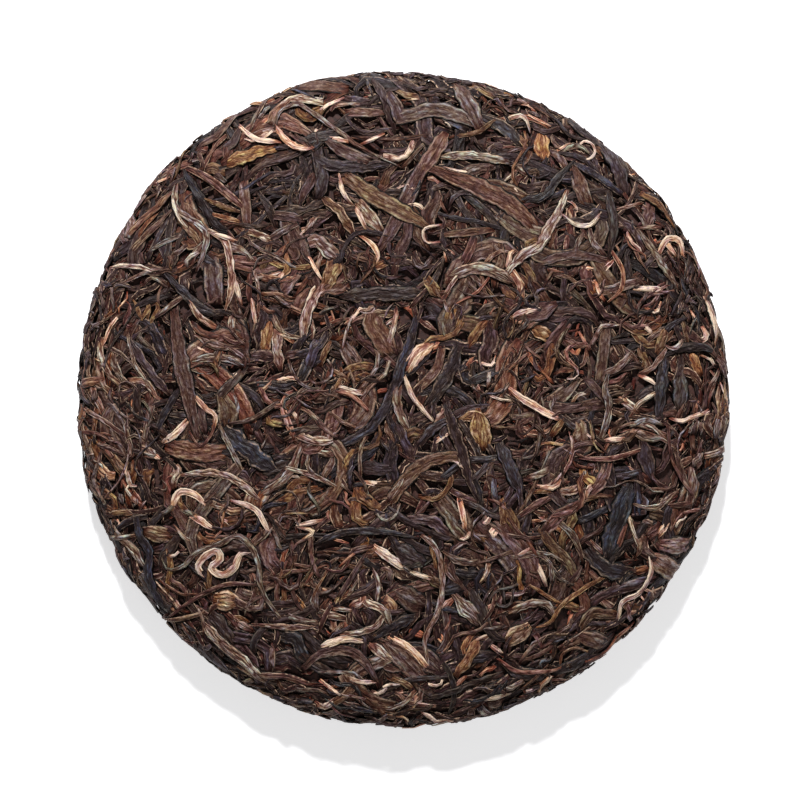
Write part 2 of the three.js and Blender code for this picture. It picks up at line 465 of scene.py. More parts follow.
def one_piece(pile, name, material):
    """Joins the leaves of a pile in one mesh.

    Each leaf has a cell of its own on the map, which is longer than it is wide.
    """
    cell_length = 2.4
    cell_edge = 0.06
    layers = [[], [], [], []]
    corners, starts, maps = [], [], []
    leaves = sum(len(group) for group in pile.values())
    map_columns = math.ceil(math.sqrt(leaves * cell_length))
    map_rows = math.ceil(leaves / map_columns)
    laid = 0
    vertex_count = 0
    corner_count = 0
    for (rings, sides), group in pile.items():
        numbers, places, faces = leaf_form(rings - 1, sides)
        for layer, part in zip(layers, zip(*group)):
            layer.append(np.stack(part).ravel())
        count = len(group)
        leaf = np.arange(count)[:, None]
        corners.append((numbers + leaf * rings * sides + vertex_count).ravel())
        starts.append((faces + leaf * len(numbers) + corner_count).ravel())
        slot = np.arange(laid, laid + count)
        origin = np.column_stack([slot % map_columns, slot // map_columns])
        filled = origin[:, None] + cell_edge + (1 - 2 * cell_edge) * places[None]
        maps.append((filled / (map_columns, map_rows)).reshape(-1, 2))
        laid += count
        vertex_count += count * rings * sides
        corner_count += count * len(numbers)
    vertices, grain, form, tint = [np.concatenate(layer) for layer in layers]
    mesh = bpy.data.meshes.new(name)
    mesh.vertices.add(vertex_count)
    mesh.loops.add(corner_count)
    mesh.polygons.add(sum(len(part) for part in starts))
    mesh.vertices.foreach_set("co", vertices)
    mesh.loops.foreach_set("vertex_index", np.concatenate(corners))
    mesh.polygons.foreach_set("loop_start", np.concatenate(starts))
    mesh.update(calc_edges=True)
    mesh.shade_smooth()
    for label, kind, field, values in (
        ("leaf_grain", "FLOAT_VECTOR", "vector", grain),
        ("leaf_form", "FLOAT_VECTOR", "vector", form),
        ("leaf_tint", "FLOAT_COLOR", "color", tint),
    ):
        mesh.attributes.new(label, kind, "POINT").data.foreach_set(field, values)
    mesh.uv_layers.new(name="OFBake").uv.foreach_set("vector", np.concatenate(maps).ravel())
    piece = add_object(name, mesh)
    piece.data.materials.append(material)
    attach(piece, "root")
    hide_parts("tea_cake")
    print(name, leaves, "leaves", len(mesh.loops) - 2 * len(mesh.polygons), "triangles")
    return piece


# How the tints of the leaves of a kind differ, beside being lighter or darker.
warmer = np.array([0.08, 0.0, -0.08])
greener = np.array([0.0, 0.075, 0.0])
least_hue, most_hue = -1.3, 1.5


def leaf_like(kind):
    """The sizes, folds and colour of one leaf of a kind. Its tint lies between two of the kind's."""
    narrowest, widest = kind["width"]
    width = narrowest + (widest - narrowest) * rng.uniform() ** kind["narrowness"]
    share = rng.uniform(0.6, 1)
    first, second = rng.choice(len(kind["tints"]), 2)
    first, second = [np.array(paint(*kind["tints"][number])) for number in (first, second)]
    tint = first * share + second * (1 - share)
    depth = min(kind["flatness"] * width, kind["deepest"])
    leaf = {
        "width": width,
        "depth": depth,
        "lift": kind["lift"] * depth,
        "ends": rng.uniform(*kind["ends"], 2),
        "tapers": rng.uniform(*kind["tapers"], 2),
        "ragged": kind["ragged"],
        "folds": (
            rng.uniform(*kind["fold_count"]),
            rng.uniform(-1, 1) * kind["twist"],
            rng.uniform(0, math.tau),
            rng.uniform(*kind["fold_depth"]),
        ),
        "ridges": kind["ridges"],
        "give": kind["give"],
        "turned": max(0, rng.uniform(*kind["turned"])),
        "turned_at": rng.uniform(0.25, 0.75),
        "tucks": rng.uniform(*kind["tuck"], 2),
        # How strong the painted highlight inside its edges is.
        "edge": rng.uniform(0, 1) ** 1.5 * kind["edge"],
    }
    lighter = rng.normal(0, kind["shades"])
    warm, green = np.clip(rng.normal(size=2), least_hue, most_hue)
    leaf["tint"] = tint * np.exp(lighter + kind["hues"] * (warm * warmer + green * greener))
    return leaf


def flow(place):
    """The way in which the leaves near a place tend to lie. It changes slowly over the bed."""
    x, y = place
    across = 1.9 * math.sin(0.061 * x + 0.9)
    up = 1.7 * math.sin(0.053 * y - 0.4)
    return across + up + 0.9 * math.sin(0.08 * (x + y))


def scatter(pile, kind, count, steps=6):
    """Lays leaves of a kind all over both beds.

    On the rim most of them lie along it. Some end in a hook, and some lie beside each other, as
    folded leaves do.
    """
    for bed in beds:
        laid = 0
        tries = 0
        while laid < count and tries < count * kind["tries"]:
            tries += 1
            nearest, farthest = kind["reach"]
            distance = math.sqrt(rng.uniform(nearest ** 2, farthest ** 2))
            turn = rng.uniform(0, math.tau)
            centre = np.array([math.cos(turn), math.sin(turn)]) * distance
            length = rng.uniform(*kind["length"])
            curl = rng.normal(0, kind["curl"])
            heading = flow(centre) + rng.normal(0, kind["disorder"])
            on_rim = distance > rim_start
            if on_rim and rng.uniform() < kind["along_rim"]:
                heading = turn + math.pi / 2 + rng.normal(0, kind["rim_disorder"])
                curl = 1 / distance + rng.normal(0, kind["curl"] * 0.5)
            hook = 0
            if rng.uniform() < kind["hooked"]:
                hook = rng.choice([-1, 1]) * rng.uniform(*kind["hook"])
            beside = 1
            if rng.uniform() < kind["bundled"]:
                beside = rng.integers(*kind["bundle"])
            leaf = leaf_like(kind)
            if on_rim and rng.uniform() < kind["loose"]:
                leaf["tucks"] = rng.uniform(*loose_tuck, 2)
                leaf["ends"] = rng.uniform(*loose_ends, 2)

            # The strands of a bundle differ a little in place, heading, length, bend and tint.
            for strand in range(beside):
                sideways = np.array([-math.sin(heading), math.cos(heading)])
                offset = (strand - (beside - 1) / 2) * leaf["width"] * kind["strand_gap"]
                offset = offset * sideways + rng.normal(0, 0.8, 2)
                route = wandering_route(
                    centre + offset, heading + rng.normal(0, 0.1), length * rng.uniform(0.6, 1.1),
                    curl + rng.normal(0, 0.015), kind["sway"] * rng.normal(), hook * rng.uniform(0, 1.2),
                    steps * fine_steps + 1,
                )
                strand_leaf = dict(leaf, tint=leaf["tint"] * math.exp(rng.normal(0, 0.15)))
                laid += lay(pile, bed, route, strand_leaf)


def leaf_surface():
    """The shader group of a dry leaf: wrinkles along it, blotches, painted shade along its outlines and in
    its grooves, a painted highlight inside its edges, down.

    It reads a leaf's tint, how strong the painted highlight inside its edges is, and where a place lies on
    the leaf when that is
    straight: millimetres across and along it, and from -1 to 1 across it.
    """
    group = bpy.data.node_groups.new("dry_leaf_surface", "ShaderNodeTree")
    sockets = group.interface
    for name, value in (
        ("Wrinkle Width", 0.5), ("Wrinkle Length", 6.0), ("Contrast", 0.5),
        ("Gloss", 0.5), ("Veins", 0.0), ("Down And Highlight", 0.2),
    ):
        sockets.new_socket(name, in_out="INPUT", socket_type="NodeSocketFloat").default_value = value
    sockets.new_socket("Color", in_out="OUTPUT", socket_type="NodeSocketColor")
    sockets.new_socket("Roughness", in_out="OUTPUT", socket_type="NodeSocketFloat")
    sockets.new_socket("Height", in_out="OUTPUT", socket_type="NodeSocketFloat")
    given = node(group, "NodeGroupInput").outputs
    result = node(group, "NodeGroupOutput")

    def math_node(operation, first, second=0.0, third=0.0):
        made = node(group, "ShaderNodeMath", {"operation": operation}, i0=first, i1=second, i2=third)
        return made.outputs[0]

    def times(first, second):
        return math_node("MULTIPLY", first, second)

    def spread(value, low, high, least=0.0, most=1.0):
        """Eases from least to most while the value goes from low to high."""
        made = node(
            group, "ShaderNodeMapRange", {"interpolation_type": "SMOOTHSTEP"},
            i0=value, i1=low, i2=high, i3=least, i4=most,
        )
        return made.outputs[0]

    def attribute(name, output):
        return node(group, "ShaderNodeAttribute", {"attribute_name": name}).outputs[output]

    def parts_of(vector):
        return node(group, "ShaderNodeSeparateXYZ", Vector=vector).outputs

    tint = attribute("leaf_tint", "Color")
    grain_parts = parts_of(attribute("leaf_grain", "Vector"))
    form_parts = parts_of(attribute("leaf_form", "Vector"))
    to_edge = math_node("ABSOLUTE", form_parts[0])

    def leaf_place(width, length, bend=None):
        """A place on the straight leaf, for grains of that width and length."""
        across = math_node("DIVIDE", grain_parts[0], width)
        along = math_node("DIVIDE", grain_parts[1], length)
        if bend is not None:
            across = math_node("MULTIPLY_ADD", bend, 1.2, across)
        return node(group, "ShaderNodeCombineXYZ", X=across, Y=along, Z=grain_parts[2]).outputs[0]

    def grain_noise(width, length, detail):
        place = leaf_place(width, length)
        made = node(group, "ShaderNodeTexNoise", Vector=place, Scale=1.0, Detail=detail, Roughness=0.6)
        return made.outputs["Fac"]

    def strands(width, length, feature, output):
        place = leaf_place(width, length, blotches)
        made = node(group, "ShaderNodeTexVoronoi", {"feature": feature}, Vector=place, Scale=1.0)
        return made.outputs[output]

    # Noises of several sizes, drawn out along the leaf, and the strands between its folds.
    wrinkle_width, wrinkle_length = given["Wrinkle Width"], given["Wrinkle Length"]
    wrinkles = grain_noise(wrinkle_width, wrinkle_length, 3.0)
    fine = grain_noise(times(wrinkle_width, 0.6), times(wrinkle_length, 0.65), 2.0)
    blotches = grain_noise(2.5, 5.0, 3.0)
    patches = grain_noise(0.8, 1.3, 2.0)
    stains = grain_noise(1.6, 3.2, 3.0)
    strand_width = times(wrinkle_width, 2.4)
    strand_length = times(wrinkle_length, 2.6)
    strand_edge = strands(strand_width, strand_length, "DISTANCE_TO_EDGE", "Distance")
    strand_tone = parts_of(strands(strand_width, strand_length, "F1", "Color"))[0]
    strand_swell = spread(strand_edge, 0.0, 0.4)
    # The lines between the strands lie in the grooves of the relief and are painted dark: painted shade.
    groove_shade_lines = spread(strand_edge, 0.0, 0.16, 1.0, 0.0)

    # The midrib and the side veins, which slant towards the edges.
    vein_place = math_node("MULTIPLY_ADD", to_edge, -1.6, grain_parts[1])
    side_veins = spread(math_node("SINE", times(vein_place, 3.4)), 0.8, 1.0)
    midrib = spread(to_edge, 0.0, 0.09, 1.0, 0.0)
    veins = times(math_node("MAXIMUM", side_veins, midrib), given["Veins"])

    # All of these make the tint lighter or darker. The wrinkles, the fine grains, the patches and the lines
    # between the strands follow the relief, so they are partly the leaf's own streaks and partly painted
    # shade in its grooves and painted light on its ridges. A line inside the edge is paler, a painted
    # highlight, and the edge itself is nearly black, a painted shade. Where the tint is dark it is redder,
    # and less red in a stain.
    inner_highlight_line = times(spread(to_edge, 0.6, 0.7), spread(to_edge, 0.8, 0.88, 1.0, 0.0))
    low = math_node("SUBTRACT", 1.0, given["Contrast"])
    high = math_node("ADD", 1.0, given["Contrast"])
    shade = spread(wrinkles, 0.3, 0.7, low, high)
    shade = times(shade, spread(blotches, 0.3, 0.7, 0.72, 1.25))
    shade = times(shade, spread(fine, 0.4, 0.6, 0.58, 1.38))
    shade = times(shade, spread(patches, 0.35, 0.65, 0.88, 1.14))
    line_depth = times(given["Contrast"], -2.15)
    shade = times(shade, math_node("MULTIPLY_ADD", groove_shade_lines, line_depth, 1.0))
    shade = times(shade, spread(strand_tone, 0.0, 1.0, 0.78, 1.28))
    shade = math_node("MULTIPLY_ADD", veins, 0.5, shade)
    shade = math_node("MULTIPLY_ADD", inner_highlight_line, 0.4, shade)
    # The edge of each leaf is painted nearly black: painted shade where it meets the leaves beside and
    # under it.
    wavy_edge = math_node("MULTIPLY_ADD", patches, 0.45, to_edge)
    outline = spread(wavy_edge, 1.0, 1.1, 1.0, 0.05)
    red_green_blue = []
    for power, least, most in ((0.8, 0.8, 0.9), (1.18, 0.695, 0.79), (1.3, 0.955, 0.695)):
        part = times(math_node("POWER", shade, power), spread(stains, 0.32, 0.68, least, most))
        red_green_blue.append(times(part, outline))
    red, green, blue = red_green_blue
    shades = node(group, "ShaderNodeCombineXYZ", X=red, Y=green, Z=blue).outputs[0]
    palest = paint(220, 192, 168)
    shaded = node(group, "ShaderNodeVectorMath", {"operation": "MULTIPLY"}, i0=tint, i1=shades).outputs[0]
    shaded = node(group, "ShaderNodeVectorMath", {"operation": "MINIMUM"}, i0=shaded, i1=palest).outputs[0]

    # Down, and painted highlights on the crests of the wrinkles and inside the edges, are pale, in patches.
    patchy = spread(patches, 0.42, 0.6)
    edge_highlight = times(times(inner_highlight_line, patchy), form_parts[1])
    lit = times(spread(wrinkles, 0.58, 0.68), patchy)
    down_and_highlight = times(spread(fine, 0.56, 0.72), spread(patches, 0.5, 0.66))
    down_and_highlight = times(math_node("MAXIMUM", down_and_highlight, lit), given["Down And Highlight"])
    edged = node(
        group, "ShaderNodeMix", {"data_type": "RGBA"},
        i0=math_node("MAXIMUM", edge_highlight, down_and_highlight), i6=shaded, i7=(*paint(188, 157, 132), 1),
    )
    group.links.new(edged.outputs[2], result.inputs["Color"])

    gloss = times(given["Gloss"], spread(wrinkles, 0.35, 0.65, 0.6, 1.0))
    group.links.new(math_node("SUBTRACT", 1.0, gloss), result.inputs["Roughness"])
    height = math_node("MULTIPLY_ADD", fine, 0.25, times(wrinkles, 0.6))
    height = math_node("MULTIPLY_ADD", strand_swell, 0.7, height)
    height = math_node("MULTIPLY_ADD", patches, 0.4, height)
    height = math_node("MULTIPLY_ADD", veins, 0.35, height)
    group.links.new(height, result.inputs["Height"])
    return group


dry_leaf_surface = leaf_surface()


def leaf_material(name, wrinkles, contrast, gloss, down_and_highlight, relief, veins=0.0):
    """The material of a kind of leaf. Its wrinkles have a width and a length in millimetres."""
    material, tree, shader = new_material(name)
    surface = tree.nodes.new("ShaderNodeGroup")
    surface.node_tree = dry_leaf_surface
    for socket, value in (
        ("Wrinkle Width", wrinkles[0]), ("Wrinkle Length", wrinkles[1]),
        ("Contrast", contrast), ("Gloss", gloss), ("Veins", veins), ("Down And Highlight", down_and_highlight),
    ):
        surface.inputs[socket].default_value = value
    height = surface.outputs["Height"]
    bump = node(tree, "ShaderNodeBump", Strength=1.0, Distance=relief * mm, Height=height)
    tree.links.new(surface.outputs["Color"], shader.inputs["Base Color"])
    tree.links.new(surface.outputs["Roughness"], shader.inputs["Roughness"])
    tree.links.new(bump.outputs["Normal"], shader.inputs["Normal"])
    shader.inputs["Specular IOR Level"].default_value = 0.18
    return material


# A rolled leaf: its size and outline, its route, its folds, how it lies, and its colour, with how strong
# the painted highlight inside its edges may be.
rolled_leaf = {
    "length": (9, 28), "width": (1.2, 4.0), "narrowness": 1.7, "flatness": 0.3, "deepest": 0.85,
    "ends": (0.2, 0.85), "tapers": (0.12, 0.5), "ragged": 0.25, "turned": (-0.9, 0.65),
    "curl": 0.045, "sway": 0.4, "hooked": 0.45, "hook": (0.5, 2.4),
    "disorder": 0.75, "along_rim": 0.8, "rim_disorder": 0.3,
    "fold_count": (3, 7), "fold_depth": (0.12, 0.4), "twist": 1.6, "ridges": 6,
    "lift": 0.5, "give": 0.1, "tuck": (0.4, 1.5), "loose": 0.3,
    "bundled": 0.14, "bundle": (2, 5), "strand_gap": 0.85, "reach": (0, leaf_reach), "tries": 12,
    "edge": 1.0, "shades": 0.24, "hues": 1.0,
}
deep_brown_kind = dict(rolled_leaf, tints=[(64, 48, 44), (51, 40, 40), (74, 54, 43), (67, 51, 40)])
deep_brown = leaf_material("deep_brown_leaf", (0.6, 2.4), contrast=0.36, gloss=0.5, down_and_highlight=0.2, relief=0.6)
deep_brown_pile = {}
scatter(deep_brown_pile, deep_brown_kind, 400, steps=4)
deep_brown_leaves = one_piece(deep_brown_pile, "deep_brown_leaves", deep_brown)


# The warm brown leaves
# Rolled leaves of the same picking that dried a little slower, so that they turned a warmer
# brown. They are mixed with the deep brown ones, and the pressing alone holds them.

warm_brown_kind = dict(rolled_leaf, tints=[(78, 59, 52), (84, 63, 47), (68, 51, 48), (79, 56, 46)])
warm_brown = leaf_material("warm_brown_leaf", (0.55, 2.2), contrast=0.36, gloss=0.45, down_and_highlight=0.22, relief=0.6)
warm_brown_pile = {}
scatter(warm_brown_pile, warm_brown_kind, 450)
warm_brown_leaves = one_piece(warm_brown_pile, "warm_brown_leaves", warm_brown)


# The mixed brown leaves
# The longest rolled leaves of the picking, of all shades of dark brown. They fill the face
# between the leaves that stand out.

mixed_brown_kind = dict(
    rolled_leaf, length=(10, 32), width=(1.4, 5.0), sway=0.6,
    tints=[
        (65, 50, 46), (52, 42, 43), (82, 63, 55), (84, 61, 39), (46, 41, 45),
        (68, 44, 37), (98, 80, 71), (67, 54, 40), (83, 54, 42), (62, 50, 51),
    ],
    shades=0.3,
)
mixed_brown = leaf_material("mixed_brown_leaf", (0.6, 2.4), contrast=0.36, gloss=0.5, down_and_highlight=0.22, relief=0.6)
mixed_brown_pile = {}
scatter(mixed_brown_pile, mixed_brown_kind, 720, steps=8)
mixed_brown_leaves = one_piece(mixed_brown_pile, "mixed_brown_leaves", mixed_brown)


# The black leaves
# Older leaves, long and limp, that turned nearly black and keep a dull shine. Those that stand
# out in the photograph lie where it shows them: each has its width and its route there, in
# pixels. So do the broad, olive and grey leaves, the stalks and the buds that stand out.

face_points = 2 * steps_per_curve - 1
face_radius = outline_radius[:face_points]
face_height = outline_height[:face_points]
face_run = outline_run[:face_points]
face_pixel = rim_pixel * (camera_height - cake_thickness) / camera_rise
seen_width = 1.1
seen_lift = 0.1
seen_tuck = 0.9
step_length = 1.8
fewest_steps, most_steps = 4, 28


def seen_at(pixel):
    """The place on the face's bed of what the photograph shows at a pixel."""
    across = (pixel[0] - image_size / 2) * rim_pixel / camera_rise
    up = (image_size / 2 - pixel[1]) * rim_pixel / camera_rise
    height = cake_thickness

    # The height there depends on the place, so the two are found in turn.
    for _ in range(4):
        place = np.array([
            camera_x + across * (camera_height - height),
            camera_y + up * (camera_height - height),
        ])
        distance = np.linalg.norm(place)
        height = np.interp(distance, face_radius, face_height) + leaf_relief
    along = np.interp(distance, face_radius, face_run)
    return place * along / max(distance, 1e-6)


def lay_seen(pile, kind, seen, longer=1.5):
    """Lays leaves where the photograph shows them, each end a little longer than it is seen."""
    for width, *pixels in seen:
        route = [seen_at(pixel) for pixel in pixels]
        length = sum(math.dist(*pair) for pair in zip(route, route[1:])) + 2 * longer
        bends = len(route) - 2
        steps = int(np.clip(length / step_length + 1.5 * bends, fewest_steps, most_steps))
        leaf = leaf_like(kind)
        leaf["width"] = width * face_pixel * seen_width
        leaf["depth"] = min(kind["flatness"] * leaf["width"], kind["deepest"])
        leaf["lift"] = kind["lift"] * leaf["depth"] + seen_lift
        leaf["tucks"] = (seen_tuck, seen_tuck)
        leaf["turned"] = 0
        lay(pile, "face", route_through(route, steps * fine_steps + 1, longer), leaf, seen=True)


black_kind = dict(
    rolled_leaf, tints=[(56, 45, 42), (48, 42, 43), (62, 47, 42)],
    length=(14, 34), width=(2, 5), flatness=0.32, shades=0.22, edge=0.4,
)
black_seen = [
    (10, (187, 174), (203, 203), (215, 224), (230, 232)),
    (10, (167, 275), (180, 289), (198, 306), (215, 315)),
    (14, (344, 296), (380, 294), (421, 294)),
    (10, (372, 81), (387, 105), (394, 129)),
    (14, (389, 94), (404, 124)),
    (9, (573, 162), (559, 177), (544, 196), (528, 201)),
    (11, (609, 194), (613, 232), (609, 258)),
    (13, (665, 354), (661, 387), (659, 415)),
    (17, (680, 375), (680, 408)),
    (20, (630, 487), (620, 513), (608, 556)),
    (17, (642, 442), (652, 477)),
    (14, (501, 446), (510, 468), (520, 489)),
    (11, (416, 316), (411, 339), (401, 366), (390, 399), (373, 425), (339, 446)),
    (16, (459, 346), (446, 377), (430, 404)),
    (20, (225, 430), (249, 451), (275, 471)),
    (9, (132, 342), (146, 366), (167, 392)),
    (14, (210, 613), (224, 628), (232, 642)),
    (17, (590, 553), (601, 566), (625, 573)),
    (8, (248, 178), (262, 165), (280, 160), (300, 152)),
    (9, (260, 195), (270, 210), (275, 225)),
    (13, (318, 160), (336, 166), (362, 166), (392, 164)),
    (4, (345, 113), (350, 123), (362, 131), (380, 130), (394, 128)),
    (5, (432, 211), (455, 218), (478, 222), (504, 229)),
    (5, (341, 262), (345, 246), (355, 234), (375, 233), (400, 239), (420, 246), (434, 257)),
    (6, (450, 205), (455, 196), (468, 192), (482, 197), (490, 205)),
    (4, (545, 110), (556, 120), (566, 133), (580, 139), (600, 147)),
    (14, (604, 150), (618, 172), (626, 193)),
    (8, (576, 163), (598, 177), (620, 192)),
    (10, (312, 177), (300, 203)),
    (8, (158, 430), (163, 416), (170, 404), (180, 388)),
    (12, (446, 408), (455, 432), (463, 456), (469, 480), (478, 500)),
    (9, (419, 446), (435, 427), (448, 421)),
    (10, (397, 424), (404, 440), (411, 456)),
    (10, (664, 357), (680, 349), (700, 347), (714, 352)),
    (9, (558, 312), (576, 311), (590, 315), (597, 325)),
    (14, (365, 468), (392, 470)),
    (11, (316, 345), (308, 366)),
    (9, (136, 518), (140, 536), (149, 550), (149, 570), (155, 590), (165, 606)),
    (8, (264, 630), (254, 641), (254, 652)),
    (14, (280, 636), (296, 640), (302, 656)),
    (8, (313, 545), (335, 535), (360, 531), (390, 532), (415, 538)),
    (11, (374, 638), (390, 628), (415, 617)),
    (6, (441, 660), (451, 676), (454, 693), (448, 711)),
    (6, (428, 698), (456, 689), (481, 680), (498, 674)),
    (11, (444, 590), (460, 590)),
    (10, (455, 573), (475, 575)),
    (18, (395, 548), (420, 562)),
    (12, (412, 520), (434, 522), (448, 536)),
]
black = leaf_material("black_leaf", (0.65, 2.8), contrast=0.32, gloss=0.58, down_and_highlight=0.12, relief=0.5)
black_pile = {}
scatter(black_pile, black_kind, 260)
lay_seen(black_pile, black_kind, black_seen)
black_leaves = one_piece(black_pile, "black_leaves", black)


# The broad leaves
# Large leaves that stayed open or were only folded once, so that their midrib and side veins
# show. They are thin, and lie flat over what is under them.

broad_kind = dict(
    rolled_leaf, tints=[(83, 61, 50), (74, 54, 48), (95, 66, 47), (88, 66, 52), (99, 75, 61)],
    length=(16, 38), width=(4.5, 9), flatness=0.13, ends=(0.3, 0.9), tapers=(0.2, 0.5), ragged=0.14,
    sway=0.3, fold_count=(5, 11), fold_depth=(0.2, 0.5), twist=0.6, ridges=10, bundled=0.0, give=0.12,
    edge=0.4, reach=(0, 90),
)
broad_seen = [
    (20, (212, 262), (215, 300)),
    (14, (301, 93), (344, 89)),
    (10, (349, 113), (380, 113)),
    (16, (444, 136), (435, 151), (421, 172)),
    (18, (456, 86), (471, 108), (480, 127)),
    (16, (575, 172), (587, 203)),
    (9, (539, 263), (573, 255), (608, 261)),
    (12, (606, 327), (603, 356), (599, 384)),
    (14, (461, 456), (425, 463), (408, 477), (390, 502)),
    (17, (174, 311), (180, 356), (189, 399), (198, 439)),
    (9, (239, 375), (215, 401)),
    (8, (442, 235), (490, 230)),
    (16, (400, 118), (440, 110), (470, 122)),
    (19, (430, 168), (455, 178), (480, 188), (512, 206), (535, 228)),
    (13, (328, 142), (346, 152), (366, 160)),
    (17, (348, 178), (372, 195), (395, 208), (420, 222), (432, 230)),
    (20, (222, 398), (228, 412), (226, 424)),
    (20, (170, 446), (195, 452), (222, 452)),
    (15, (198, 410), (201, 430)),
    (22, (388, 645), (405, 660), (422, 676)),
    (11, (304, 668), (318, 655), (340, 650), (360, 657), (372, 672), (378, 684)),
    (22, (398, 592), (420, 605)),
    (18, (580, 636), (605, 642)),
    (22, (654, 560), (676, 572)),
    (20, (665, 545), (688, 545)),
    (9, (588, 380), (597, 390), (606, 402)),
    (10, (442, 346), (437, 368), (419, 388)),
    (8, (226, 152), (236, 145), (241, 132)),
    (8, (200, 152), (222, 138), (243, 118)),
    (12, (244, 185), (245, 200), (247, 222)),
    (11, (272, 215), (290, 217), (300, 219)),
]
broad = leaf_material(
    "broad_leaf", (0.65, 2.4), contrast=0.3, gloss=0.5, down_and_highlight=0.25, relief=0.45, veins=0.3,
)
broad_pile = {}
scatter(broad_pile, broad_kind, 70, steps=8)
lay_seen(broad_pile, broad_kind, broad_seen)
broad_leaves = one_piece(broad_pile, "broad_leaves", broad)


# The olive leaves
# Younger leaves that kept some of their green and gold when they dried. They are short, softly
# rolled and a little glossy.

olive_kind = dict(
    rolled_leaf, tints=[(121, 89, 56), (104, 79, 54), (134, 103, 63)],
    length=(8, 22), width=(1.8, 4.2), flatness=0.25, shades=0.22, hues=0.5,
)
olive_seen = [
    (10, (323, 198), (339, 211), (351, 230)),
    (5, (454, 136), (477, 132), (497, 118)),
    (15, (541, 138), (543, 156)),
    (8, (644, 196), (663, 211), (677, 229)),
    (5.5, (452, 475), (447, 490), (434, 499), (423, 497)),
    (20, (478, 413), (483, 446)),
    (5, (535, 628), (549, 623), (563, 604), (582, 590), (603, 577)),
    (4, (528, 584), (544, 594), (559, 603)),
    (12, (582, 628), (590, 615), (615, 616)),
    (13, (231, 164), (250, 156), (272, 149)),
    (6, (207, 200), (222, 206), (241, 212)),
    (5, (212, 214), (228, 218), (240, 222)),
    (17, (335, 262), (326, 288)),
    (12, (428, 280), (436, 292)),
    (10, (470, 345), (476, 333), (484, 324)),
    (14, (537, 331), (550, 337)),
    (10, (665, 332), (661, 343), (657, 353)),
    (11, (693, 358), (699, 372)),
    (6, (110, 516), (120, 512), (133, 515)),
    (17, (148, 532), (168, 536)),
    (20, (218, 600), (236, 602)),
    (11, (478, 640), (470, 656), (458, 672)),
    (18, (510, 640), (526, 628)),
    (8, (638, 572), (648, 568)),
    (8, (553, 434), (563, 420)),
    (12, (269, 324), (264, 349)),
    (3, (535, 446), (548, 443), (566, 446)),
    (3, (561, 665), (564, 652), (572, 648), (590, 652)),
    (6, (276, 678), (284, 690)),
    (7, (321, 363), (325, 353), (329, 345)),
]
olive = leaf_material(
    "olive_leaf", (0.55, 2.2), contrast=0.36, gloss=0.5, down_and_highlight=0.15, relief=0.45, veins=0.3,
)
olive_pile = {}
scatter(olive_pile, olive_kind, 120)
lay_seen(olive_pile, olive_kind, olive_seen)
olive_leaves = one_piece(olive_pile, "olive_leaves", olive)


# The grey leaves
# Leaves and leaf buds with a dull, grey brown skin of dried down. They are slim and supple, so
# the longest lie in wide bends over the others.

